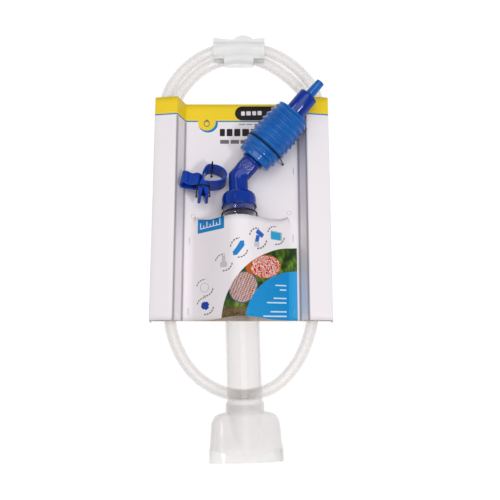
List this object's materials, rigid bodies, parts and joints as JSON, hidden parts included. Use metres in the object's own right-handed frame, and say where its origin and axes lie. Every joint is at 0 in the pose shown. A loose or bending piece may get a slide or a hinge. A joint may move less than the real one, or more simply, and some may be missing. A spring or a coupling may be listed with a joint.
{
  "type": "gravel vacuum siphon",
  "caption": "Gravel siphon with clear tube, flat nozzle, swivel elbow, squeeze bulb with ball valves, coiled hose and bucket clip, tied to a folded display card.",
  "frame": {"origin": "middle of the display card's back face, on the surface that the pack lies on", "axes": "+X to the right of the card seen from its front, +Y up the card from the nozzle towards the hose band, +Z out of the card's front"},
  "size_m": [0.2, 0.4996, 0.0572],
  "materials": {
    "printed_card": null,
    "kraft_card": "uncoated card, brown inside and white outside",
    "staple_steel": "bright wire",
    "clear_plastic": "clear, glossy",
    "clear_film": "thin clear film, glossy, slightly creased",
    "frosted_plastic": "milky translucent, satin",
    "hose_vinyl": "clear soft vinyl, glossy",
    "dark_blue": "glossy moulded ultramarine",
    "bulb_blue": "soft translucent blue, satin",
    "black_wire": "plastic-coated tie wire",
    "seal_rubber": "matt black",
    "valve_white": "natural white"
  },
  "bodies": {
    "pack": {"card_back_sheet": "kraft_card", "card_front_sheet": "printed_card", "left_pocket_margin": "printed_card", "right_pocket_margin": "printed_card", "pocket_left_slope": "printed_card", "pocket_crown": "printed_card", "pocket_right_slope": "printed_card", "left_column_riser": "printed_card", "left_column_crown": "printed_card", "left_column_side": "printed_card", "right_column_riser": "printed_card", "right_column_crown": "printed_card", "right_column_side": "printed_card", "card_staple_1": "staple_steel", "card_staple_2": "staple_steel", "card_staple_3": "staple_steel", "card_staple_4": "staple_steel", "card_staple_5": "staple_steel", "gravel_tube": "clear_plastic", "tube_collar": "dark_blue", "gravel_guard": "dark_blue", "tube_tie": "black_wire", "clip_loop_tie": "black_wire", "clip_leg_tie": "black_wire", "bucket_clip": "dark_blue", "hose": "hose_vinyl", "hose_band": "clear_film"},
    "nozzle": {"intake_nozzle": "frosted_plastic"},
    "elbow_head": {"swivel_elbow": "dark_blue", "swivel_seal": "seal_rubber", "inlet_valve_cage": "valve_white", "priming_bellows": "bulb_blue", "bulb_tie": "black_wire"},
    "inlet_ball": {"inlet_valve_ball": "valve_white"},
    "outlet_end": {"outlet_connector": "dark_blue", "outlet_valve_cage": "valve_white", "hose_tail": "bulb_blue"},
    "outlet_ball": {"outlet_valve_ball": "valve_white"}
  },
  "joints": [
    {"name": "elbow_swivel", "type": "hinge", "parent": "pack", "child": "elbow_head", "pos_m": [-0.0024, -0.0038, 0.022], "axis": [0.0314, -0.9981, 0.0523], "range_deg": [0, 90]},
    {"name": "bulb_squeeze", "type": "slide", "parent": "elbow_head", "child": "outlet_end", "axis": [-0.6534, -0.7378, -0.1694], "range_m": [0, 0.025], "stiffness_N_per_m": 250, "deforming": ["priming_bellows"]},
    {"name": "inlet_valve_lift", "type": "slide", "parent": "elbow_head", "child": "inlet_ball", "axis": [0.6534, 0.7378, 0.1694], "range_m": [0, 0.003]},
    {"name": "outlet_valve_lift", "type": "slide", "parent": "outlet_end", "child": "outlet_ball", "axis": [0.6534, 0.7378, 0.1694], "range_m": [0, 0.003]},
    {"name": "nozzle_pull", "type": "slide", "parent": "pack", "child": "nozzle", "axis": [0.0314, -0.9981, 0.0523], "range_m": [0, 0.03]}
  ]
}
